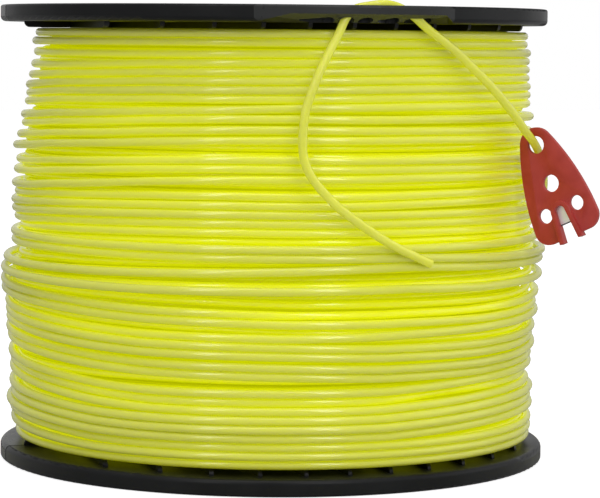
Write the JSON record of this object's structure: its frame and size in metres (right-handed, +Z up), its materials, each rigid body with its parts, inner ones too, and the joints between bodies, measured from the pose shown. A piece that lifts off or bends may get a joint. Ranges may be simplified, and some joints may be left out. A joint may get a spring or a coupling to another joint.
{
  "type": "trimmer line spool",
  "caption": "Flanged plastic spool wound with bright nylon trimmer line, its free end laced through the top flange and carrying a small notched line cutter with a steel blade.",
  "frame": {"origin": "centre of the spool's base, on its axis, in the plane that it stands on", "axes": "+Z up along the spool's axis, -Y through the retention window in the top flange, +Y along the inner-face ribs the other way, +X to the right seen from -Y"},
  "size_m": [0.178, 0.1794, 0.1483],
  "materials": {
    "spool_plastic": "smooth moulded black, softly glossy",
    "nylon_line": "translucent extruded fluorescent yellow nylon",
    "cutter_plastic": "smooth moulded red",
    "blade_steel": "polished strip with a ground edge"
  },
  "bodies": {
    "spool": {"top_flange": "spool_plastic", "bottom_flange": "spool_plastic", "barrel": "spool_plastic", "wound_line": "nylon_line", "upper_turns": "nylon_line", "last_turns": "nylon_line", "line_tail": "nylon_line"},
    "cutter": {"cutter_body": "cutter_plastic", "cutter_blade": "blade_steel"}
  },
  "joints": [
    {"name": "cutter_swing", "type": "hinge", "parent": "spool", "child": "cutter", "pos_m": [0.0657, -0.0655, 0.1041], "axis": [-0.7455, -0.6665, 0], "range_deg": [-8, 120]}
  ]
}
